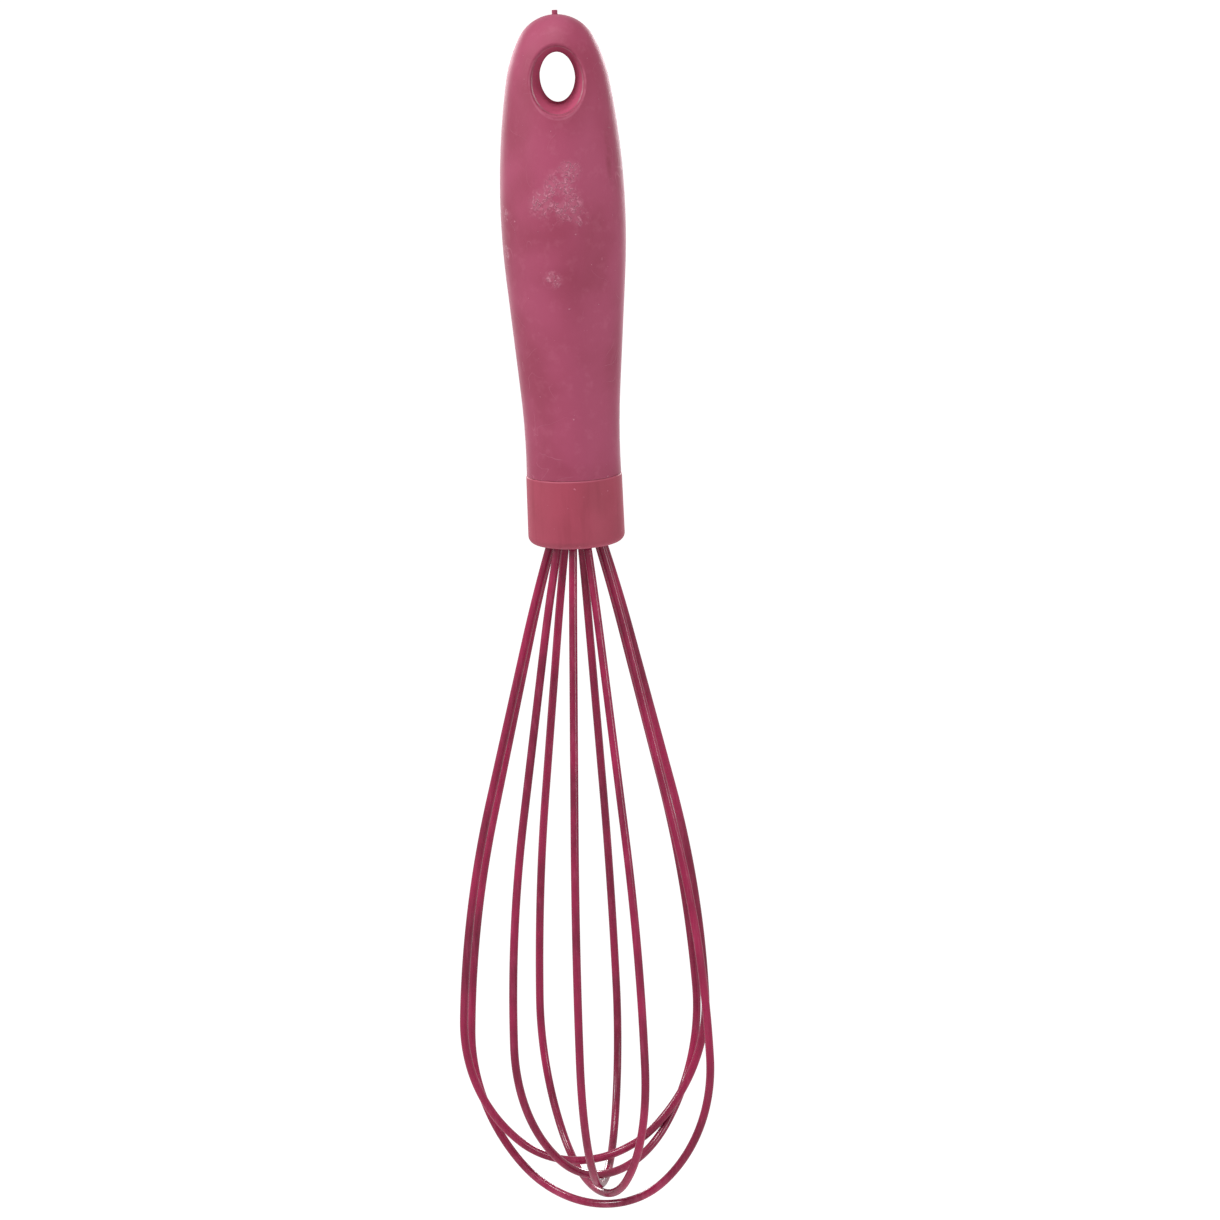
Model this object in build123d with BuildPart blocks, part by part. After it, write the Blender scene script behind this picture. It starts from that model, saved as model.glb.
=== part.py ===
# Balloon whisk with a soft-touch handle and five silicone-coated wire loops.
# Millimetres. The whisk stands upright with its balloon down: +Z runs up the handle's axis,
# the hanging hole runs along Y, and the origin is the middle of that hole.
import os
from math import cos, radians, sin, tan

from build123d import *

os.makedirs("parts", exist_ok=True)

# Handle outline, from the seam up: a waist, a straight, a swell, a top bend and a round nose,
# each running smoothly into the next
seam_height = -96.6
seam_radius = 11.55
seam_heading = -1.4
waist_radius = 194.0
waist_turn = 6.1
straight_length = 27.95
swell_radius = 190.0
swell_turn = 14.3
top_bend_radius = 35.0
top_bend_turn = 18.1
handle_top = 15.05
grip_wall = 1.6
grip_lip = 0.25
gate_radius = 0.7
gate_height = 0.9

# Hanging hole: an oval bore through the stiff core, with an oval dish sunk into each side
hole_width = 8.5
hole_height = 12.6
bore_half_depth = 4.0
dish_width = 16.0
dish_height = 18.6
dish_rise = 1.0
dish_reach = 14.5
dish_lip = 0.6

# Stiff core under the grip, with grooves that the grip locks into and a blind cavity
lock_grooves = [(-38.0, 12.2), (-52.0, 11.3), (-66.0, 10.2)]
groove_width = 3.0
groove_reach = 20.0
cavity_radius = 7.0
cavity_top = -30.0

# Collar that closes the mouth of the handle
collar_top_radius = 11.7
collar_radius = 11.85
collar_bottom = -113.5
collar_rounding = 2.0
collar_edge = 0.35
spigot_radius = 8.8
spigot_bore = 7.0
spigot_height = 13.8
plug_radius = 9.3
plug_top = -98.6
plug_recess = 1.0
plug_edge = 0.4

# Wire loops
wire_radius = 0.6
coat_radius = 1.02
tail_ring_radius = 5.6
tail_bend_radius = 12.0
mouth_ring_radius = 6.48
neck_radius = 420.0
neck_turn = 3.4
flare_angle = 14.1
shoulder_radius = 275.0
shoulder_turn = 11.8
belly_radius = 44.0
belly_turn = 48.5
lean_height = -108.0
tail_top = -94.8
coat_top = -103.0
head_radius = 0.95
head_height = 0.6

# Each loop: its turn about the axis, the height of its lowest point, its lean within its own
# plane and the tilt of that plane. Every loop passes under the ones before it.
loops = [
    (15.0, -274.5, -0.7, 2.3),
    (43.5, -275.3, 0.6, -1.0),
    (81.5, -277.7, 0.4, -0.1),
    (113.5, -280.1, 0.4, 0.6),
    (153.5, -282.4, 0.2, 1.7),
]

# Tail plate and resin
plate_radius = 6.95
plate_thickness = 1.2
plate_top = tail_top - head_height
resin_top = -86.5


def handle_section(inset):
    """Half outline of the handle, or of a body that lies a constant inset inside it."""
    heading = (sin(radians(seam_heading)), cos(radians(seam_heading)))
    arcs = [(swell_radius - inset, swell_turn), (top_bend_radius - inset, top_bend_turn)]
    nose_heading = seam_heading + waist_turn - swell_turn - top_bend_turn
    with BuildSketch(Plane.XZ) as section:
        with BuildLine():
            end = JernArc((seam_radius - inset, seam_height), heading, waist_radius + inset, -waist_turn)
            end = Line(end @ 1, end @ 1 + (end % 1) * straight_length)
            for radius, arc_turn in arcs:
                end = JernArc(end @ 1, end % 1, radius, arc_turn)
            nose_radius = (end @ 1).X / cos(radians(nose_heading))
            end = JernArc(end @ 1, end % 1, nose_radius, 90 + nose_heading)
            Polyline(end @ 1, (0, seam_height), (seam_radius - inset, seam_height))
        make_face()
    return section.sketch


def dish(side):
    """Oval dish that narrows from the handle's surface to the bore."""
    with BuildPart() as cutter:
        with BuildSketch(Plane.XZ.offset(side * bore_half_depth)):
            Ellipse(hole_width / 2, hole_height / 2)
        with BuildSketch(Plane.XZ.offset(side * dish_reach)):
            with Locations((0, dish_rise)):
                Ellipse(dish_width / 2, dish_height / 2)
        loft()
    return cutter.part


def balloon_lengths(depth):
    """Straight flare length and tip radius that bring a loop to the axis at its depth."""
    neck = radians(flare_angle + neck_turn)
    flare = radians(flare_angle)
    shoulder = radians(flare_angle - shoulder_turn)
    belly = radians(flare_angle - shoulder_turn - belly_turn)
    across = mouth_ring_radius
    across += neck_radius * (cos(flare) - cos(neck))
    across += shoulder_radius * (cos(shoulder) - cos(flare))
    across += belly_radius * (cos(belly) - cos(shoulder))
    down = neck_radius * (sin(neck) - sin(flare))
    down += shoulder_radius * (sin(flare) - sin(shoulder))
    down += belly_radius * (sin(shoulder) - sin(belly))
    drop = collar_bottom - depth - down
    # The flare and the tip arc together make up what is left across and down.
    tip = (drop * sin(flare) + across * cos(flare)) / (
        cos(belly) * cos(flare) + (1 + sin(belly)) * sin(flare)
    )
    length = (drop - tip * (1 + sin(belly))) / cos(flare)
    return length, tip


def loop_plane(turn, tilt):
    """Plane of one loop: x points outwards and y up the whisk, from a point on the axis."""
    out = Vector(cos(radians(turn)), sin(radians(turn)), 0)
    sideways = Vector(-sin(radians(turn)), cos(radians(turn)), 0)
    up = Vector(0, 0, 1) * cos(radians(tilt)) - sideways * sin(radians(tilt))
    return Plane(origin=(0, 0, lean_height), x_dir=out, z_dir=out.cross(up))


def tail_bend(side, lean):
    """How far one tail reaches down before its bend, and the straight run from there to the mouth."""
    angle = radians(flare_angle + neck_turn + side * lean)
    mouth = Vector(side * mouth_ring_radius, collar_bottom - lean_height).rotate(Axis.Z, lean)
    climb = (side * mouth.X - tail_ring_radius) / sin(angle)
    cut = tail_bend_radius * tan(angle / 2)
    return mouth.Y + climb * cos(angle) + cut, climb - cut


def loop_route(loop, top):
    """Centre line of one loop, from its left tail round the balloon to its right tail."""
    turn, depth, lean, tilt = loop
    flare_length, tip_radius = balloon_lengths(depth)
    tip_turn = 180 + 2 * (flare_angle - shoulder_turn - belly_turn)
    tail_y = top - lean_height
    left_y, left_run = tail_bend(-1, lean)
    right_y, right_run = tail_bend(1, lean)
    mouth_angle = flare_angle + neck_turn
    arcs = [
        (shoulder_radius, shoulder_turn),
        (belly_radius, belly_turn),
        (tip_radius, tip_turn),
        (belly_radius, belly_turn),
        (shoulder_radius, shoulder_turn),
    ]
    with BuildLine(loop_plane(turn, tilt)) as route:
        Line((-tail_ring_radius, tail_y), (-tail_ring_radius, left_y))
        end = JernArc((-tail_ring_radius, left_y), (0, -1), tail_bend_radius, lean - mouth_angle)
        end = Line(end @ 1, end @ 1 + (end % 1) * left_run)
        end = JernArc(end @ 1, end % 1, neck_radius, neck_turn)
        end = Line(end @ 1, end @ 1 + (end % 1) * flare_length)
        for radius, arc_turn in arcs:
            end = JernArc(end @ 1, end % 1, radius, arc_turn)
        end = Line(end @ 1, end @ 1 + (end % 1) * flare_length)
        end = JernArc(end @ 1, end % 1, neck_radius, neck_turn)
        end = Line(end @ 1, end @ 1 + (end % 1) * right_run)
        end = JernArc(end @ 1, end % 1, tail_bend_radius, -mouth_angle - lean)
        Line(end @ 1, (tail_ring_radius, tail_y))
    return route.line


# Steel wires of the five loops, with a small head on the end of each tail
wires = []
for number, loop in enumerate(loops, start=1):
    wire_route = loop_route(loop, tail_top)
    with BuildPart() as loop_wire:
        with BuildSketch(Plane(wire_route @ 0, z_dir=wire_route % 0)):
            Circle(wire_radius)
        sweep(path=wire_route)
        for tail_end, inwards in ((wire_route @ 0, wire_route % 0), (wire_route @ 1, wire_route % 1 * -1)):
            with BuildSketch(Plane(tail_end, z_dir=inwards)):
                Circle(head_radius)
            extrude(amount=head_height)
    loop_wire.part.label = f"loop_wire_{number}"
    export_step(loop_wire.part, f"parts/loop_wire_{number}.step")
    wires.append(loop_wire.part)

# Silicone coats, drawn over the wires and ending inside the plug
coats = []
for number, loop in enumerate(loops, start=1):
    coat_route = loop_route(loop, coat_top)
    with BuildPart() as loop_coat:
        with BuildSketch(Plane(coat_route @ 0, z_dir=coat_route % 0)):
            Circle(coat_radius)
            Circle(wire_radius, mode=Mode.SUBTRACT)
        sweep(path=coat_route)
    loop_coat.part.label = f"loop_coat_{number}"
    export_step(loop_coat.part, f"parts/loop_coat_{number}.step")
    coats.append(loop_coat.part)

# Stiff core: fills the handle under the grip and is bare in the dishes and the bore
with BuildPart() as core_envelope:
    revolve(handle_section(grip_wall), axis=Axis.Z)
    for groove_height, floor_radius in lock_grooves:
        with BuildSketch(Plane.XY.offset(groove_height)):
            Circle(groove_reach)
            Circle(floor_radius, mode=Mode.SUBTRACT)
        extrude(amount=groove_width, mode=Mode.SUBTRACT)

with BuildPart() as handle_core:
    add(core_envelope.part)
    for dish_side in (-1, 1):
        add(dish(dish_side), mode=Mode.SUBTRACT)
    with BuildSketch(Plane.XZ):
        Ellipse(hole_width / 2, hole_height / 2)
    extrude(amount=dish_reach, both=True, mode=Mode.SUBTRACT)
    with BuildSketch(Plane.XY.offset(seam_height)):
        Circle(spigot_radius)
    extrude(amount=spigot_height, mode=Mode.SUBTRACT)
    with BuildSketch(Plane.XY.offset(seam_height + spigot_height)):
        Circle(cavity_radius)
    extrude(amount=cavity_top - seam_height - spigot_height, mode=Mode.SUBTRACT)
handle_core.part.label = "handle_core"
export_step(handle_core.part, "parts/handle_core.step")

# Soft grip: a skin moulded over the core, open at the dishes, with the stub of its gate on top
with BuildPart() as grip_sleeve:
    revolve(handle_section(0), axis=Axis.Z)
    fillet(edges().group_by(Axis.Z)[0], radius=grip_lip)
    for dish_side in (-1, 1):
        add(dish(dish_side), mode=Mode.SUBTRACT)
    rims = edges().filter_by(lambda edge: bore_half_depth + dish_lip < abs(edge.center().Y))
    fillet(rims.filter_by(lambda edge: edge.length > hole_height), radius=dish_lip)
    with BuildSketch(Plane.XY.offset(handle_top - gate_radius)):
        Circle(gate_radius)
    extrude(amount=gate_radius + gate_height)
    add(core_envelope.part, mode=Mode.SUBTRACT)
grip_sleeve.part.label = "grip_sleeve"
export_step(grip_sleeve.part, "parts/grip_sleeve.step")

# Collar: the smooth ring below the grip, with a spigot that is glued into the core
with BuildPart() as collar:
    with BuildSketch(Plane.XZ):
        with BuildLine():
            Polyline(
                (plug_radius, collar_bottom),
                (collar_radius, collar_bottom),
                (collar_top_radius, seam_height),
                (spigot_radius, seam_height),
                (spigot_radius, seam_height + spigot_height),
                (spigot_bore, seam_height + spigot_height),
                (spigot_bore, plug_top),
                (plug_radius, plug_top),
                close=True,
            )
        make_face()
    revolve(axis=Axis.Z)
    outer_edges = edges().filter_by(GeomType.CIRCLE).sort_by(SortBy.RADIUS)[-2:].sort_by(Axis.Z)
    fillet(outer_edges[0], radius=collar_rounding)
    fillet(outer_edges[1], radius=collar_edge)
collar.part.label = "collar"
export_step(collar.part, "parts/collar.step")

# Plug in the collar, with a bent hole for each coated strand
with BuildPart() as wire_plug:
    with BuildSketch(Plane.XY.offset(collar_bottom + plug_recess)):
        Circle(plug_radius)
    extrude(amount=plug_top - collar_bottom - plug_recess)
    chamfer(edges().group_by(Axis.Z)[0], length=plug_edge)
    for strand in wires + coats:
        add(strand, mode=Mode.SUBTRACT)
wire_plug.part.label = "wire_plug"
export_step(wire_plug.part, "parts/wire_plug.step")

# Steel plate that the headed tails hang on
with BuildPart() as tail_plate:
    with BuildSketch(Plane.XY.offset(plate_top - plate_thickness)):
        Circle(plate_radius)
    extrude(amount=plate_thickness)
    for strand in wires:
        add(strand, mode=Mode.SUBTRACT)
tail_plate.part.label = "tail_plate"
export_step(tail_plate.part, "parts/tail_plate.step")

# Resin poured round the tails inside the spigot
with BuildPart() as seal_resin:
    with BuildSketch(Plane.XY.offset(plug_top)):
        Circle(spigot_bore)
    extrude(amount=resin_top - plug_top)
    add(tail_plate.part, mode=Mode.SUBTRACT)
    for strand in wires:
        add(strand, mode=Mode.SUBTRACT)
seal_resin.part.label = "seal_resin"
export_step(seal_resin.part, "parts/seal_resin.step")
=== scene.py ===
from cmath import rect
from math import ceil, cos, pi, radians, sin, tan

import bmesh
import bpy
from mathutils import Matrix, Vector


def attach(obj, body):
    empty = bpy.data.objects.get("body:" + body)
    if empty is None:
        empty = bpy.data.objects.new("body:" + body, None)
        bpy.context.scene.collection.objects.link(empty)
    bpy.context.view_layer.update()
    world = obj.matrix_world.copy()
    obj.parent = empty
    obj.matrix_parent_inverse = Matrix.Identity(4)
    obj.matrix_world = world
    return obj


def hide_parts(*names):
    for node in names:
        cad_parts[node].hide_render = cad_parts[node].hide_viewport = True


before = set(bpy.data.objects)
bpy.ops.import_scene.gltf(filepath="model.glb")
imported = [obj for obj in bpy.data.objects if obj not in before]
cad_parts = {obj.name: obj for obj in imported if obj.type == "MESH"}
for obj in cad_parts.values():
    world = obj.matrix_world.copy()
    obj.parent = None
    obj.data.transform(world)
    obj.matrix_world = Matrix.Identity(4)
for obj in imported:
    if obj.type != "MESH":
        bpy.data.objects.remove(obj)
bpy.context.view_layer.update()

mm = 0.001
# where new nodes are laid out in their editors
shaderDesk = {"left": -2600, "top": 500, "gap": 190, "rows": 7}
shapeDesk = {"gap": 220, "rows": 4}


class Num:
    # a socket that takes part in sums; every operator adds one Math node
    def __init__(self, finish, socket):
        self.finish = finish
        self.socket = socket

    def take(self, name):
        return Num(self.finish, self.socket.node.outputs[name])

    def maths(self, operation, first, second):
        return self.finish.add("ShaderNodeMath", {"operation": operation}, {0: first, 1: second})

    def __add__(self, other):
        return self.maths("ADD", self, other)

    def __radd__(self, other):
        return self.maths("ADD", other, self)

    def __sub__(self, other):
        return self.maths("SUBTRACT", self, other)

    def __rsub__(self, other):
        return self.maths("SUBTRACT", other, self)

    def __mul__(self, other):
        return self.maths("MULTIPLY", self, other)

    def __rmul__(self, other):
        return self.maths("MULTIPLY", other, self)

    def __truediv__(self, other):
        return self.maths("DIVIDE", self, other)

    def __rtruediv__(self, other):
        return self.maths("DIVIDE", other, self)

    def __pow__(self, other):
        return self.maths("POWER", self, other)

    def __rpow__(self, other):
        return self.maths("POWER", other, self)

    def __abs__(self):
        return self.maths("ABSOLUTE", self, 0)

    def larger(self, other):
        return self.maths("MAXIMUM", self, other)


class Finish:
    def __init__(self, name, **fixed):
        self.material = bpy.data.materials.new(name)
        self.material.use_nodes = True
        self.tree = self.material.node_tree
        self.tree.nodes.clear()
        output = self.tree.nodes.new("ShaderNodeOutputMaterial")
        self.shader = self.tree.nodes.new("ShaderNodeBsdfPrincipled")
        self.shader.location = (-300, 0)
        self.tree.links.new(self.shader.outputs[0], output.inputs[0])
        for socketName, value in fixed.items():
            self.shader.inputs[socketName.replace("_", " ")].default_value = value

    def add(self, kind, settings=None, inputs=None, out=0):
        # settings are set before the sockets are filled, because some of them change the sockets
        node = self.tree.nodes.new(kind)
        column, row = divmod(len(self.tree.nodes), shaderDesk["rows"])
        gap = shaderDesk["gap"]
        node.location = (shaderDesk["left"] + gap * column, shaderDesk["top"] - gap * row)
        for key, value in (settings or {}).items():
            setattr(node, key, value)
        for key, value in (inputs or {}).items():
            self.fill(node.inputs[key], value)
        return Num(self, node.outputs[out])

    def fill(self, socket, value):
        if isinstance(value, Num):
            self.tree.links.new(value.socket, socket)
        else:
            socket.default_value = value

    def spot(self, stretch=(1, 1, 1)):
        # place on the piece in millimetres
        here = self.add("ShaderNodeTexCoord", out="Object")
        scale = [part / mm for part in stretch]
        return self.add("ShaderNodeVectorMath", {"operation": "MULTIPLY"}, {0: here, 1: scale})

    def noise(self, where, scale, detail=2.0, rough=0.5, warp=0.0):
        inputs = {"Vector": where, "Scale": scale, "Detail": detail}
        inputs.update({"Roughness": rough, "Distortion": warp})
        return self.add("ShaderNodeTexNoise", {}, inputs)

    def ease(self, value, low, high):
        # 0 below low, 1 above high, soft in between; low may be the larger one
        settings = {"interpolation_type": "SMOOTHSTEP"}
        inputs = {"Value": value, "From Min": low, "From Max": high}
        return self.add("ShaderNodeMapRange", settings, inputs)

    def tint(self, amount, first, second):
        settings = {"data_type": "RGBA", "clamp_factor": True}
        return self.add("ShaderNodeMix", settings, {0: amount, 6: first, 7: second}, out=2)

    def split(self, where):
        parts = self.add("ShaderNodeSeparateXYZ", {}, {0: where})
        return parts, parts.take("Y"), parts.take("Z")

    def bumps(self, height, distance, strength=1.0):
        inputs = {"Strength": strength, "Distance": distance, "Height": height}
        self.set("Normal", self.add("ShaderNodeBump", {}, inputs))

    def set(self, socketName, value):
        self.fill(self.shader.inputs[socketName], value)


class Grower:
    # a Geometry Nodes tree with named inputs, run once on a source mesh
    def __init__(self, name):
        self.group = bpy.data.node_groups.new(name, "GeometryNodeTree")
        self.start = None
        self.values = {}
        self.socket("Geometry", "NodeSocketGeometry")

    def socket(self, label, kind, value=None, side="INPUT"):
        item = self.group.interface.new_socket(label, in_out=side, socket_type=kind)
        if value is not None:
            self.values[item.identifier] = value
        return item

    def begin(self):
        self.start = self.group.nodes.new("NodeGroupInput")

    def given(self, label):
        return self.start.outputs[label]

    def add(self, kind, settings=None, inputs=None):
        node = self.group.nodes.new(kind)
        column, row = divmod(len(self.group.nodes), shapeDesk["rows"])
        node.location = (shapeDesk["gap"] * column, -shapeDesk["gap"] * row)
        for key, value in (settings or {}).items():
            setattr(node, key, value)
        for key, value in (inputs or {}).items():
            if isinstance(value, list):
                for link in value:
                    self.group.links.new(link, node.inputs[key])
            elif isinstance(value, bpy.types.NodeSocket):
                self.group.links.new(value, node.inputs[key])
            else:
                node.inputs[key].default_value = value
        return node.outputs[0]

    def close(self, geometry, material):
        # every tree ends by making its instances real and giving them their finish
        self.socket("Geometry", "NodeSocketGeometry", side="OUTPUT")
        real = self.add("GeometryNodeRealizeInstances", {}, {"Geometry": geometry})
        done = self.add("GeometryNodeSetMaterial", {}, {"Geometry": real, "Material": material})
        end = self.group.nodes.new("NodeGroupOutput")
        self.group.links.new(done, end.inputs[0])

    def grow(self, name, source):
        holder = bpy.data.objects.new(name + "Source", source)
        bpy.context.scene.collection.objects.link(holder)
        modifier = holder.modifiers.new(self.group.name, "NODES")
        modifier.node_group = self.group
        for identifier, value in self.values.items():
            modifier[identifier] = value
        depsgraph = bpy.context.evaluated_depsgraph_get()
        made = holder.evaluated_get(depsgraph)
        keep = {"preserve_all_data_layers": True, "depsgraph": depsgraph}
        mesh = bpy.data.meshes.new_from_object(made, **keep)
        mesh.name = name
        bpy.data.objects.remove(holder)
        piece = bpy.data.objects.new(name, mesh)
        bpy.context.scene.collection.objects.link(piece)
        return piece


def shade(red, green, blue):
    # a colour as a paint program shows it, 0 to 255
    def linear(part):
        part /= 255
        return part / 12.92 if part <= 0.04045 else ((part + 0.055) / 1.055) ** 2.4
    return (linear(red), linear(green), linear(blue), 1)


# a pattern is a noise's scale per millimetre, detail, roughness and distortion;
# a range is where a mask starts and where it is full
silicone = {
    "base": shade(150, 22, 69),
    "deep": shade(110, 14, 48),
    "faded": shade(180, 80, 112),
    "roughness": 0.17,
    "rootShadow": (-126, -113),     # heights in mm between which the coat darkens into the collar
    "tipWear": (-264, -284),        # heights between which whisking has dulled it
    "cloud": (0.05, 3, 0.55),
    "streak": (1.3, 3, 0.6),
    "streakLength": 0.06,           # squeeze along the handle, which draws the streaks out
    "specks": (1.7, 2, 0.5),
    "speckRange": (0.70, 0.80),
    "nicks": (0.8, 3, 0.7, 0.8),
    "nickRange": (0.69, 0.74),
    "wear": (0.3, 4, 0.6),
    "wearRange": (0.4, 0.65),
    "grain": (6, 3, 0.6),
    "relief": 0.00006,
}


def makeSilicone():
    finish = Finish("siliconeCoat", Specular_IOR_Level=0.42)
    where = finish.spot()
    _, _, height = finish.split(where)
    cloud = finish.noise(where, *silicone["cloud"])
    streak = finish.noise(finish.spot((1, 1, silicone["streakLength"])), *silicone["streak"])
    specks = finish.ease(finish.noise(where, *silicone["specks"]), *silicone["speckRange"])
    nicks = finish.ease(finish.noise(where, *silicone["nicks"]), *silicone["nickRange"])
    patches = finish.ease(finish.noise(where, *silicone["wear"]), *silicone["wearRange"])
    worn = finish.ease(height, *silicone["tipWear"]) * patches
    body = finish.tint(finish.ease(cloud, 0.3, 0.7), silicone["base"], silicone["deep"])
    body = finish.tint(finish.ease(streak, 0.45, 0.8) * 0.25, body, silicone["faded"])
    body = finish.tint(specks * 0.5 + worn * 0.4, body, silicone["faded"])
    root = finish.ease(height, *silicone["rootShadow"])
    finish.set("Base Color", finish.tint(root * 0.45, body, silicone["deep"]))
    finish.set("Roughness", silicone["roughness"] + 0.05 * cloud + 0.08 * specks + 0.04 * worn)
    grain = finish.noise(where, *silicone["grain"])
    relief = grain * 0.05 + streak * 0.15 + nicks * 0.7 + specks * 0.2
    finish.bumps(relief, silicone["relief"], 0.25)
    return finish.material


siliconeCoat = makeSilicone()

strand = {
    "radius": 1.02 * mm,
    "wireRoom": 0.64 * mm,     # bore that the steel wire lies in
    "sides": 20,
    "step": 1.0 * mm,
    "unevenness": 0.03,        # share of the radius lost in the thin places
    "waver": 90.0,             # how quickly thick and thin places follow each other
    "seed": 3.0,
}
balloon = {
    "tailRing": 5.6 * mm,             # distance of the tails from the axis, inside the collar
    "tailBend": 12 * mm,
    "mouthRing": 6.48 * mm,           # and where they leave it
    "neck": (420 * mm, 3.4),          # radius of an arc, and how many degrees it turns
    "flareAngle": 14.1,
    "shoulder": (275 * mm, 11.8),
    "belly": (44 * mm, 48.5),
    "leanHeight": -108 * mm,          # height about which a loop leans and tilts
    "collarBottom": -113.5 * mm,
    "coatTop": -103 * mm,
}
# turn about the handle, height of the lowest point, lean in its own plane, tilt of that plane
loops = [
    (15.0, -274.5 * mm, -0.7, 2.3),
    (43.5, -275.3 * mm, 0.6, -1.0),
    (81.5, -277.7 * mm, 0.4, -0.1),
    (113.5, -280.1 * mm, 0.4, 0.6),
    (153.5, -282.4 * mm, 0.2, 1.7),
]


def balloonLengths(depth):
    # straight flare and tip radius that bring a loop to its depth
    flareAngle = balloon["flareAngle"]
    neckRadius, neckTurn = balloon["neck"]
    shoulderRadius, shoulderTurn = balloon["shoulder"]
    bellyRadius, bellyTurn = balloon["belly"]
    neck = radians(flareAngle + neckTurn)
    flare = radians(flareAngle)
    shoulder = radians(flareAngle - shoulderTurn)
    belly = radians(flareAngle - shoulderTurn - bellyTurn)
    across = balloon["mouthRing"] + neckRadius * (cos(flare) - cos(neck))
    across += shoulderRadius * (cos(shoulder) - cos(flare))
    across += bellyRadius * (cos(belly) - cos(shoulder))
    down = neckRadius * (sin(neck) - sin(flare)) + shoulderRadius * (sin(flare) - sin(shoulder))
    down += bellyRadius * (sin(shoulder) - sin(belly))
    drop = balloon["collarBottom"] - depth - down
    spread = cos(belly) * cos(flare) + (1 + sin(belly)) * sin(flare)
    tip = (drop * sin(flare) + across * cos(flare)) / spread
    return (drop - tip * (1 + sin(belly))) / cos(flare), tip


def tailBend(side, lean):
    # height at which one tail starts to bend, and its straight run from there to the mouth
    angle = radians(balloon["flareAngle"] + balloon["neck"][1] + side * lean)
    mouth = complex(side * balloon["mouthRing"], balloon["collarBottom"] - balloon["leanHeight"])
    mouth *= rect(1, radians(lean))
    climb = (side * mouth.real - balloon["tailRing"]) / sin(angle)
    cut = balloon["tailBend"] * tan(angle / 2)
    return mouth.imag + climb * cos(angle) + cut, climb - cut


def loopLine(turn, depth, lean, tilt):
    # centre line of one loop: tail, bend, neck, flare, shoulder, belly, tip, and up again
    flareAngle = balloon["flareAngle"]
    neck, shoulder, belly = balloon["neck"], balloon["shoulder"], balloon["belly"]
    mouthAngle = flareAngle + neck[1]
    flareLength, tipRadius = balloonLengths(depth)
    tailTop = balloon["coatTop"] - balloon["leanHeight"]
    leftBend, leftRun = tailBend(-1, lean)
    rightBend, rightRun = tailBend(1, lean)
    moves = [
        (0, tailTop - leftBend),
        (balloon["tailBend"], lean - mouthAngle),
        (0, leftRun),
        neck,
        (0, flareLength),
        shoulder,
        belly,
        (tipRadius, 180 + 2 * (flareAngle - shoulder[1] - belly[1])),
        belly,
        shoulder,
        (0, flareLength),
        neck,
        (0, rightRun),
        (balloon["tailBend"], -mouthAngle - lean),
        (0, tailTop - rightBend),
    ]
    place, heading = complex(-balloon["tailRing"], tailTop), -90.0
    line = [place]
    for radius, amount in moves:
        if radius == 0:
            place += rect(amount, radians(heading))
            line.append(place)
            continue
        steps = ceil(abs(radians(amount)) * radius / strand["step"])
        half = amount / steps / 2
        for _ in range(steps):
            place += rect(2 * radius * sin(radians(abs(half))), radians(heading + half))
            heading += 2 * half
            line.append(place)
    out = Vector((cos(radians(turn)), sin(radians(turn)), 0))
    sideways = Vector((-sin(radians(turn)), cos(radians(turn)), 0))
    up = Vector((0, 0, 1)) * cos(radians(tilt)) - sideways * sin(radians(tilt))
    foot = Vector((0, 0, balloon["leanHeight"]))
    return [foot + out * point.real + up * point.imag for point in line]


def coatTree():
    tree = Grower("silicone coat drawn along its wire")
    tree.socket("Coat radius", "NodeSocketFloat", strand["radius"])
    tree.socket("Wire room", "NodeSocketFloat", strand["wireRoom"])
    tree.socket("Sides", "NodeSocketInt", strand["sides"])
    tree.socket("Step", "NodeSocketFloat", strand["step"])
    tree.socket("Unevenness", "NodeSocketFloat", strand["unevenness"])
    tree.socket("Waver", "NodeSocketFloat", strand["waver"])
    tree.socket("Seed", "NodeSocketFloat", strand["seed"])
    tree.socket("Finish", "NodeSocketMaterial", siliconeCoat)
    tree.begin()
    line = tree.add("GeometryNodeMeshToCurve", {}, {"Mesh": tree.given("Geometry")})
    even = {"Curve": line, "Length": tree.given("Step")}
    line = tree.add("GeometryNodeResampleCurve", {"mode": "LENGTH"}, even)
    here = tree.add("GeometryNodeInputPosition")
    wander = tree.add("ShaderNodeTexNoise", {"noise_dimensions": "4D"},
                      {"Vector": here, "W": tree.given("Seed"), "Scale": tree.given("Waver")})
    unevenness = tree.given("Unevenness")
    loss = tree.add("ShaderNodeMath", {"operation": "MULTIPLY"}, {0: wander, 1: unevenness})
    girth = tree.add("ShaderNodeMath", {"operation": "SUBTRACT"}, {0: 1.0, 1: loss})
    line = tree.add("GeometryNodeSetCurveRadius", {}, {"Curve": line, "Radius": girth})
    skins = []
    for radius in ("Coat radius", "Wire room"):
        ring = tree.add("GeometryNodeCurvePrimitiveCircle", {},
                        {"Resolution": tree.given("Sides"), "Radius": tree.given(radius)})
        skins.append(tree.add("GeometryNodeCurveToMesh", {}, {"Curve": line, "Profile Curve": ring}))
    bore = tree.add("GeometryNodeFlipFaces", {}, {"Mesh": skins[1]})
    both = tree.add("GeometryNodeJoinGeometry", {}, {"Geometry": [skins[0], bore]})
    smooth = tree.add("GeometryNodeSetShadeSmooth", {}, {"Geometry": both})
    tree.close(smooth, tree.given("Finish"))
    return tree


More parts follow.
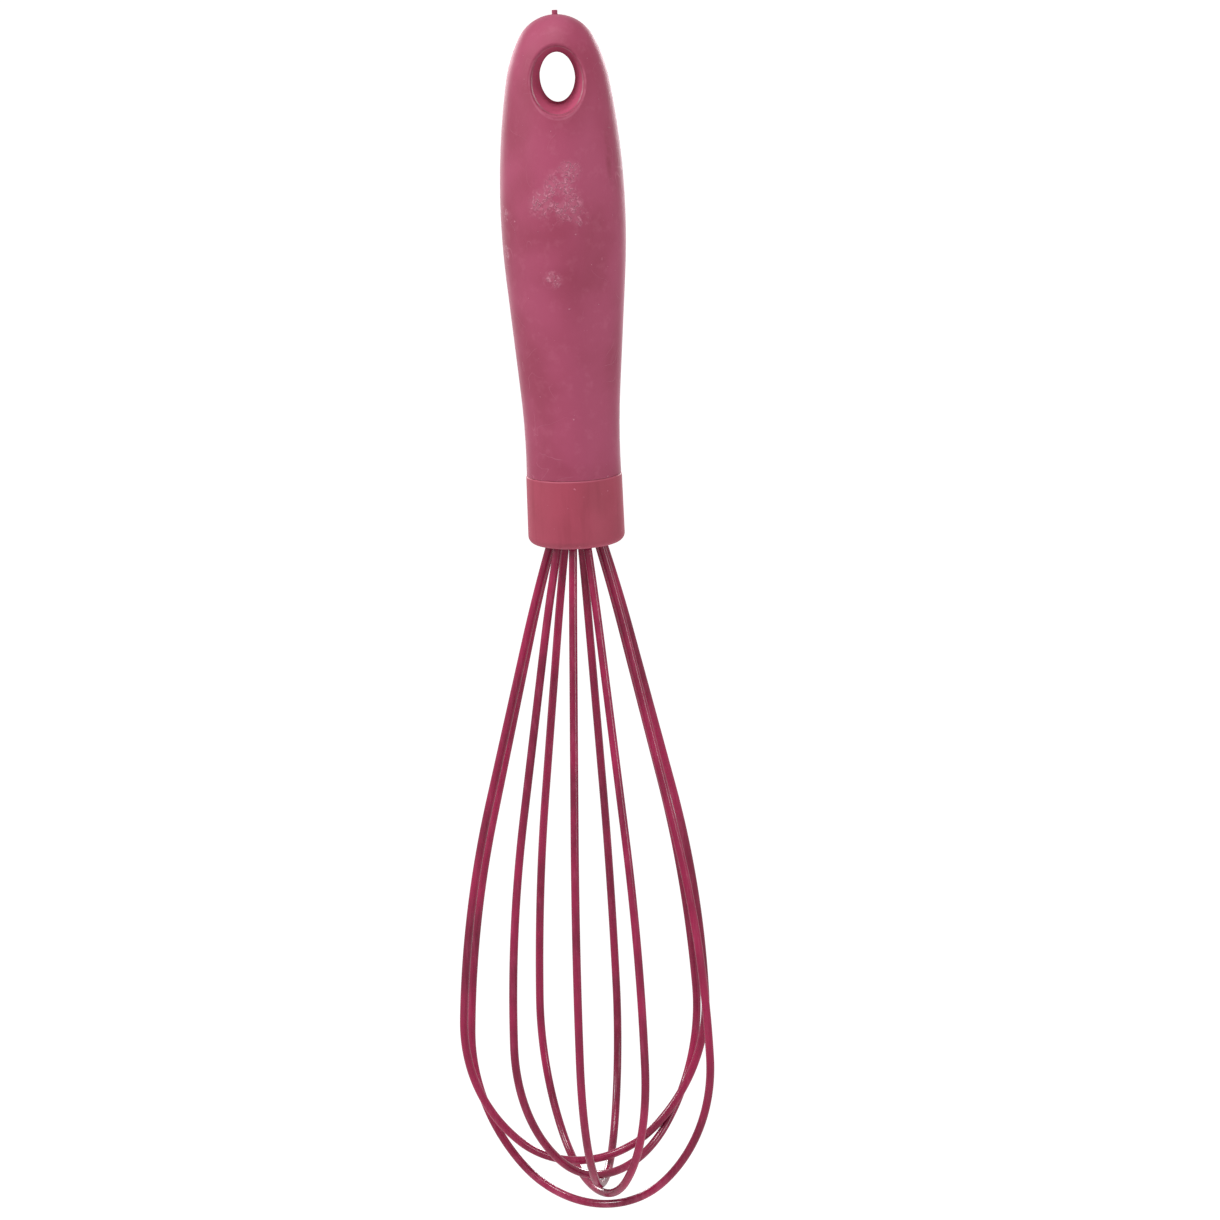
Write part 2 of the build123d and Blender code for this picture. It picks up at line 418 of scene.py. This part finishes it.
def closeEnds(piece):
    # flat rings between the coat and its bore at both cut ends
    mesh = bmesh.new()
    mesh.from_mesh(piece.data)
    rims = [edge for edge in mesh.edges if edge.is_boundary]
    mid = sum((edge.verts[0].co for edge in rims), Vector()) / len(rims)
    across = rims[0].verts[0].co - mid
    for side in (-1, 1):
        near = [edge for edge in rims if side * (edge.verts[0].co - mid).dot(across) > 0]
        made = bmesh.ops.bridge_loops(mesh, edges=near)
        for face in made["faces"]:
            face.smooth = False
    bmesh.ops.recalc_face_normals(mesh, faces=mesh.faces)
    mesh.to_mesh(piece.data)
    mesh.free()


coatGrower = coatTree()
for number, loop in enumerate(loops, start=1):
    line = loopLine(*loop)
    source = bpy.data.meshes.new("loopLine")
    source.from_pydata(line, [(i, i + 1) for i in range(len(line) - 1)], [])
    coat = coatGrower.grow(f"siliconeCoat{number}", source)
    closeEnds(coat)
    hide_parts(f"loop_coat_{number}")
    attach(coat, "root")
print("whisk: five silicone-coated loops drawn")


grip = {
    "base": shade(152, 62, 91),
    "deep": shade(133, 45, 70),
    "pale": shade(212, 136, 158),
    "roughness": 0.56,
    "relief": 0.00004,
    "rimHighlight": (6.7, 8.3, -0.6),      # half width, half height and middle of the dish's rim, where a pale line is painted on as its highlight
    "lipHighlight": (-96.2, -96.55),       # heights of the lip at the seam, where a pale line is painted on as its highlight
    "scuffs": [       # places in mm where the skin is chafed, with how far each one reaches
        (1.8, -13.8, -21.5, 3.8),
        (-0.4, -13.8, -25.2, 5.0),
        (-4.3, -13.3, -28.8, 4.6),
        (0.7, -13.9, -29.3, 5.2),
        (3.9, -13.4, -32.4, 3.0),
        (-12.5, -6, -32, 2.2),
        (-12.8, -5, -41, 2.6),
        (-3.0, -13.5, -47, 2.8),
        (9.0, 9.5, -36, 5.0),
        (-5.0, 12.5, -58, 4.5),
    ],
    "streaks": [      # rubbed streaks that run down the skin
        (10.9, -8.6, -19.5, 1.7),
        (-7.0, 12.0, -30.0, 1.6),
    ],
    "streakSqueeze": 0.2,
    "cloud": (0.045, 3, 0.5),
    "mottle": (0.35, 3, 0.6),
    "grain": (5.5, 2, 0.6),
    "ragged": (0.3, 3, 0.6),          # breaks up the chafed places
    "raggedRange": (0.33, 0.54),
    "squiggles": (1.0, 3, 0.6, 1.2),  # torn skin inside them
    "squiggleRange": (0.5, 0.6),
    "stray": (0.9, 2, 0.5),           # single specks elsewhere
    "strayRange": (0.745, 0.775),
    "scratches": (0.11, 1, 0.5, 0.8),
    "scratchRange": (0.006, 0.002),
    "scratched": (0.09, 2),           # where the scratches show
    "scratchedRange": (0.54, 0.62),
}


def nearSpots(finish, where, spots, squeeze=1.0):
    # 1 near the middle of any of the spots, fading to 0 at its reach;
    # a squeeze under 1 stretches them up and down
    worn = None
    for x, y, z, reach in spots:
        place = {0: where, 1: (x, y, z * squeeze)}
        gap = finish.add("ShaderNodeVectorMath", {"operation": "DISTANCE"}, place, out="Value")
        here = finish.ease(gap, reach, reach * 0.4)
        worn = here if worn is None else worn.larger(here)
    return worn


def makeGrip():
    finish = Finish("softGrip", Specular_IOR_Level=0.4, Sheen_Weight=0.18, Sheen_Roughness=0.3)
    where = finish.spot()
    across, _, height = finish.split(where)
    cloud = finish.noise(where, *grip["cloud"])
    mottle = finish.noise(where, *grip["mottle"])
    grain = finish.noise(where, *grip["grain"])
    chafed = nearSpots(finish, where, grip["scuffs"])
    ragged = chafed * finish.ease(finish.noise(where, *grip["ragged"]), *grip["raggedRange"])
    torn = finish.ease(finish.noise(where, *grip["squiggles"]), *grip["squiggleRange"])
    specks = torn * ragged
    stray = finish.ease(finish.noise(where, *grip["stray"]), *grip["strayRange"])
    squeeze = grip["streakSqueeze"]
    long = finish.spot((1, 1, squeeze))
    streaks = nearSpots(finish, long, grip["streaks"], squeeze) * finish.ease(mottle, 0.3, 0.6)
    # hair-fine scratches follow one level of a slow noise, and show only here and there
    level = abs(finish.noise(where, *grip["scratches"]) - 0.5)
    shown = finish.ease(finish.noise(where, *grip["scratched"]), *grip["scratchedRange"])
    scratches = finish.ease(level, *grip["scratchRange"]) * shown
    # a pale line painted round the dish's rim and along the seam lip stands in for their highlights;
    # worn here is that painted highlight, made patchy by the mottle
    halfWidth, halfHeight, middle = grip["rimHighlight"]
    ring = ((across / halfWidth) ** 2 + ((height - middle) / halfHeight) ** 2) ** 0.5
    rimHighlight = finish.ease(abs(ring - 1), 0.05, 0.01)
    lipHighlight = finish.ease(height, *grip["lipHighlight"])
    worn = rimHighlight.larger(lipHighlight) * finish.ease(mottle, 0.3, 0.55)
    body = finish.tint(finish.ease(cloud, 0.35, 0.65) * 0.8, grip["base"], grip["deep"])
    body = finish.tint(finish.ease(mottle, 0.5, 0.8) * 0.08, body, grip["pale"])
    body = finish.tint(streaks * 0.95, body, grip["deep"])
    body = finish.tint(ragged * 0.16 + scratches * 0.12 + worn * 0.15, body, grip["pale"])
    finish.set("Base Color", finish.tint(specks.larger(stray) * 0.52, body, grip["pale"]))
    finish.set("Roughness", grip["roughness"] + 0.12 * mottle - 0.1 * specks - 0.12 * streaks)
    relief = grain * 0.3 + specks * 5.5 + stray * 3 + mottle * 1.2 + scratches * 0.6
    finish.bumps(relief, grip["relief"])
    return finish.material


plastic = {
    "collarBase": shade(153, 50, 74),
    "collarDeep": shade(130, 34, 56),
    "coreBase": shade(170, 80, 106),
    "coreDeep": shade(156, 66, 92),
    "pale": shade(200, 110, 134),
    "roughness": 0.46,
    "topEdgeHighlight": (-97.1, -96.7),        # heights in mm of the collar's edges, where pale lines are painted on as highlights
    "footEdgeHighlight": (-112.4, -113.4),
    "gripEnd": (-95, -96),            # the painted top-edge highlight stops here, under the grip
    "cloud": (0.06, 3, 0.5),
    "lines": (0.55, 4, 0.6),
    "lineLength": 0.09,               # squeeze along the handle, which draws the flow lines out
    "grain": (4.5, 3, 0.6),
    "specks": (1.0, 2, 0.5),
    "speckRange": (0.73, 0.77),
    "relief": 0.00005,
}


def makePlastic(name, base, deep, flow, gloss):
    # flow is how strongly the moulding's flow lines run up the piece
    finish = Finish(name, Specular_IOR_Level=gloss)
    where = finish.spot()
    cloud = finish.noise(where, *plastic["cloud"])
    lines = finish.noise(finish.spot((1, 1, plastic["lineLength"])), *plastic["lines"])
    grain = finish.noise(where, *plastic["grain"])
    specks = finish.ease(finish.noise(where, *plastic["specks"]), *plastic["speckRange"])
    body = finish.tint(finish.ease(cloud, 0.35, 0.7) * 0.5, base, deep)
    body = finish.tint(finish.ease(lines, 0.5, 0.75) * flow, body, deep)
    _, _, height = finish.split(where)
    # edge is a pale line painted along the top and foot edges as their highlight, made patchy by the
    # cloud
    edge = finish.ease(height, *plastic["topEdgeHighlight"]) * finish.ease(height, *plastic["gripEnd"])
    edge = edge.larger(finish.ease(height, *plastic["footEdgeHighlight"])) * finish.ease(cloud, 0.3, 0.6)
    finish.set("Base Color", finish.tint(specks * 0.5 + edge * 0.25, body, plastic["pale"]))
    finish.set("Roughness", plastic["roughness"] + 0.15 * cloud + 0.1 * lines)
    finish.bumps(grain * 0.2 + lines * flow + specks, plastic["relief"])
    return finish.material


metal = {
    "steel": shade(196, 196, 198),
    "dull": shade(142, 140, 138),
    "roughness": 0.3,
    "drawn": (3.0, 4, 0.6),
    "stain": (0.4, 3, 0.6),
    "stainRange": (0.5, 0.75),
    "wireGrain": (1, 1, 0.05),      # the wire is drawn lengthwise, the plate rolled across
    "plateGrain": (0.1, 1, 1),
    "relief": 0.00003,
}
resin = {
    "base": shade(226, 214, 176),
    "deep": shade(190, 168, 118),
    "roughness": 0.18,
    "swirl": (0.3, 4, 0.6, 1.0),
    "bubbles": (1.8, 1, 0.4),
    "bubbleRange": (0.66, 0.72),
    "relief": 0.0001,
}


def makeSteel(name, stretch):
    # stretch draws the grain out along one axis
    finish = Finish(name, Metallic=1.0)
    drawn = finish.noise(finish.spot(stretch), *metal["drawn"])
    stain = finish.ease(finish.noise(finish.spot(), *metal["stain"]), *metal["stainRange"])
    finish.set("Base Color", finish.tint(stain * 0.5 + 0.2 * drawn, metal["steel"], metal["dull"]))
    finish.set("Roughness", metal["roughness"] + 0.2 * drawn + 0.2 * stain)
    finish.bumps(drawn, metal["relief"])
    return finish.material


def makeResin():
    finish = Finish("pouredResin", Transmission_Weight=0.25)
    where = finish.spot()
    swirl = finish.noise(where, *resin["swirl"])
    bubbles = finish.ease(finish.noise(where, *resin["bubbles"]), *resin["bubbleRange"])
    mixed = finish.ease(swirl, 0.3, 0.75)
    finish.set("Base Color", finish.tint(mixed, resin["base"], resin["deep"]))
    finish.set("Roughness", resin["roughness"] + 0.25 * bubbles + 0.1 * swirl)
    finish.bumps(bubbles + swirl * 0.4, resin["relief"])
    return finish.material


# colours, strength of the flow lines, gloss
collarFinish = makePlastic("collarPlastic", plastic["collarBase"], plastic["collarDeep"], 0.4, 0.6)

collar = {
    "seam": -96.6 * mm,
    "bottom": -113.5 * mm,
    "topRadius": 11.7 * mm,
    "bottomRadius": 11.85 * mm,
    "topRounding": 0.35 * mm,
    "bottomRounding": 2.0 * mm,
    "spigotRadius": 8.8 * mm,
    "spigotTop": -82.8 * mm,
    "spigotBore": 7.0 * mm,
    "plugRadius": 9.3 * mm,
    "plugTop": -98.6 * mm,
    "stepsRound": 144,
    "stepsInRounding": 12,
    "weld": 0.001 * mm,       # closes the turned skin where it meets itself
    "sharp": 30,              # edges that turn more than this many degrees stay crisp
}


def roundCorner(before, corner, after, radius, steps):
    # points of the arc that rounds one corner of an outline
    inwards, onwards = (before - corner).normalized(), (after - corner).normalized()
    half = inwards.angle(onwards) / 2
    middle = corner + (inwards + onwards).normalized() * radius / sin(half)
    start = corner + inwards * radius / tan(half) - middle
    end = corner + onwards * radius / tan(half) - middle
    arc = [start.lerp(end, i / steps).normalized() * radius for i in range(steps + 1)]
    return [middle + point for point in arc]


def collarOutline():
    seam, bottom = collar["seam"], collar["bottom"]
    corners = [Vector(pair) for pair in (
        (collar["plugRadius"], bottom),
        (collar["bottomRadius"], bottom),
        (collar["topRadius"], seam),
        (collar["spigotRadius"], seam),
        (collar["spigotRadius"], collar["spigotTop"]),
        (collar["spigotBore"], collar["spigotTop"]),
        (collar["spigotBore"], collar["plugTop"]),
        (collar["plugRadius"], collar["plugTop"]),
    )]
    steps = collar["stepsInRounding"]
    outline = corners[:1]
    outline += roundCorner(*corners[0:3], collar["bottomRounding"], steps)
    outline += roundCorner(*corners[1:4], collar["topRounding"], steps)
    outline += corners[3:] + corners[:1]
    return [(point.x, 0, point.y) for point in outline]


def turnedTree(points):
    tree = Grower("outline turned round the handle")
    tree.socket("Points along", "NodeSocketInt", points)
    tree.socket("Steps round", "NodeSocketInt", collar["stepsRound"])
    tree.socket("Finish", "NodeSocketMaterial", collarFinish)
    tree.begin()
    around = tree.given("Steps round")
    columns = tree.add("ShaderNodeMath", {"operation": "ADD"}, {0: around, 1: 1})
    size = {"Vertices X": tree.given("Points along"), "Vertices Y": columns}
    sheet = tree.add("GeometryNodeMeshGrid", {}, size)
    index = tree.add("GeometryNodeInputIndex")
    along = tree.add("ShaderNodeMath", {"operation": "DIVIDE"}, {0: index, 1: columns})
    along = tree.add("ShaderNodeMath", {"operation": "FLOOR"}, {0: along})
    column = tree.add("ShaderNodeMath", {"operation": "MODULO"}, {0: index, 1: columns})
    turns = tree.add("ShaderNodeMath", {"operation": "DIVIDE"}, {0: column, 1: around})
    angle = tree.add("ShaderNodeMath", {"operation": "MULTIPLY"}, {0: turns, 1: 2 * pi})
    here = tree.add("GeometryNodeInputPosition")
    place = tree.add("GeometryNodeSampleIndex", {"data_type": "FLOAT_VECTOR"},
                     {"Geometry": tree.given("Geometry"), "Value": here, "Index": along})
    spin = {"Vector": place, "Angle": angle}
    turned = tree.add("ShaderNodeVectorRotate", {"rotation_type": "Z_AXIS"}, spin)
    shaped = tree.add("GeometryNodeSetPosition", {}, {"Geometry": sheet, "Position": turned})
    weld = {"Geometry": shaped, "Distance": collar["weld"]}
    closed = tree.add("GeometryNodeMergeByDistance", {}, weld)
    smooth = tree.add("GeometryNodeSetShadeSmooth", {}, {"Geometry": closed})
    tree.close(smooth, tree.given("Finish"))
    return tree


def makeCollar():
    outline = collarOutline()
    source = bpy.data.meshes.new("collarOutline")
    source.from_pydata(outline, [], [])
    piece = turnedTree(len(outline)).grow("collarRing", source)
    mesh = bmesh.new()
    mesh.from_mesh(piece.data)
    bmesh.ops.recalc_face_normals(mesh, faces=mesh.faces)
    mesh.to_mesh(piece.data)
    mesh.free()
    piece.data.set_sharp_from_angle(angle=radians(collar["sharp"]))
    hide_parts("collar")
    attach(piece, "root")


makeCollar()
print("whisk: collar turned")

finishes = {
    "grip_sleeve": makeGrip(),
    "handle_core": makePlastic("stiffCore", plastic["coreBase"], plastic["coreDeep"], 0.25, 0),
    "wire_plug": makePlastic("plugPlastic", plastic["collarDeep"], plastic["coreDeep"], 0.15, 0.3),
    "tail_plate": makeSteel("plateSteel", metal["plateGrain"]),
    "seal_resin": makeResin(),
}
wireFinish = makeSteel("drawnWire", metal["wireGrain"])
for number in range(1, len(loops) + 1):
    finishes[f"loop_wire_{number}"] = wireFinish
for node, material in finishes.items():
    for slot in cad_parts[node].material_slots:
        slot.material = material
print("whisk: handle, collar, plug and metal finished")


studio = {
    "floorHeight": -1.5,      # well below, so the whisk can be looked at from underneath
    "floorSize": 120,
    "floor": shade(250, 250, 250),
    "floorGlow": 0.75,
    "floorRoughness": 0.8,
    "floorPatches": (0.02, 3),
    "world": 0.34,            # light that the white room gives
    "mirrored": 0.65,         # how bright the room is in reflections
    # place, size and power of each soft light, and its colour
    "lights": [
        ("keyLight", (-1.25, -0.35, 0.6), 0.4, 10.5, (0.985, 0.99, 1)),
        ("topLight", (-0.1, -0.35, 1.0), 0.4, 8.5, (1, 1, 1)),
        ("frontLight", (-0.1, -1.0, 0.75), 0.3, 1.1, (1, 1, 1)),
        ("fillLight", (1.0, -0.7, 0.1), 0.4, 2.8, (0.97, 0.985, 1)),
        ("rightEdgeLight", (0.42, 1.0, 0.05), 0.3, 6.0, (1, 1, 1)),
        ("leftEdgeLight", (-0.50, 1.0, 0.1), 0.3, 5.0, (1, 1, 1)),
    ],
}
lens = {
    "target": Vector((7.42 * mm, 0, -131.0 * mm)),
    "distance": 1.0997,
    "elevation": 11.89,
    "roll": 2.33,
    "focal": 132.08,
    "sensor": 36.0,
    "reach": (0.1, 30),       # nearest and farthest that it sees
}


def makeFloor():
    finish = Finish("paleFloor", Base_Color=studio["floor"], Emission_Color=(1, 1, 1, 1))
    finish.set("Emission Strength", studio["floorGlow"])
    patches = finish.noise(finish.spot(), *studio["floorPatches"])
    finish.set("Roughness", studio["floorRoughness"] + 0.15 * patches)
    place = (0, 0, studio["floorHeight"])
    bpy.ops.mesh.primitive_plane_add(size=studio["floorSize"], location=place)
    floor = bpy.context.object
    floor.name = "paleFloor"
    floor.visible_glossy = False
    floor.data.materials.append(finish.material)


def makeLights():
    world = bpy.data.worlds.new("whiteRoom")
    bpy.context.scene.world = world
    world.use_nodes = True
    background = world.node_tree.nodes["Background"]
    background.inputs["Color"].default_value = (1, 1, 1, 1)
    # the room itself shows white, is a little dimmer in reflections, and gives less light still
    sight = world.node_tree.nodes.new("ShaderNodeLightPath")
    reflected = world.node_tree.nodes.new("ShaderNodeMapRange")
    reflected.inputs["To Min"].default_value = studio["world"]
    reflected.inputs["To Max"].default_value = studio["mirrored"]
    seen = world.node_tree.nodes.new("ShaderNodeMapRange")
    link = world.node_tree.links.new
    link(sight.outputs["Is Glossy Ray"], reflected.inputs["Value"])
    link(sight.outputs["Is Camera Ray"], seen.inputs["Value"])
    link(reflected.outputs[0], seen.inputs["To Min"])
    link(seen.outputs[0], background.inputs["Strength"])
    for name, place, size, power, colour in studio["lights"]:
        light = bpy.data.lights.new(name, "AREA")
        light.shape = "DISK"
        light.size = size
        light.energy = power
        light.color = colour
        holder = bpy.data.objects.new(name, light)
        holder.location = place
        aim = lens["target"] - Vector(place)
        holder.rotation_euler = aim.to_track_quat("-Z", "Y").to_euler()
        bpy.context.scene.collection.objects.link(holder)


def makeCamera():
    data = bpy.data.cameras.new("productCamera")
    data.lens = lens["focal"]
    data.sensor_width = lens["sensor"]
    data.clip_start, data.clip_end = lens["reach"]
    camera = bpy.data.objects.new("productCamera", data)
    rise = radians(lens["elevation"])
    camera.location = lens["target"] + Vector((0, -cos(rise), sin(rise))) * lens["distance"]
    look = (lens["target"] - camera.location).to_track_quat("-Z", "Y").to_matrix()
    turn = Matrix.Rotation(radians(-lens["roll"]), 3, "Z")
    camera.rotation_euler = (look @ turn).to_euler()
    bpy.context.scene.collection.objects.link(camera)
    bpy.context.scene.camera = camera


makeFloor()
makeLights()
makeCamera()
bpy.context.scene.view_settings.view_transform = "Standard"
print("whisk: floor, lights and camera placed")
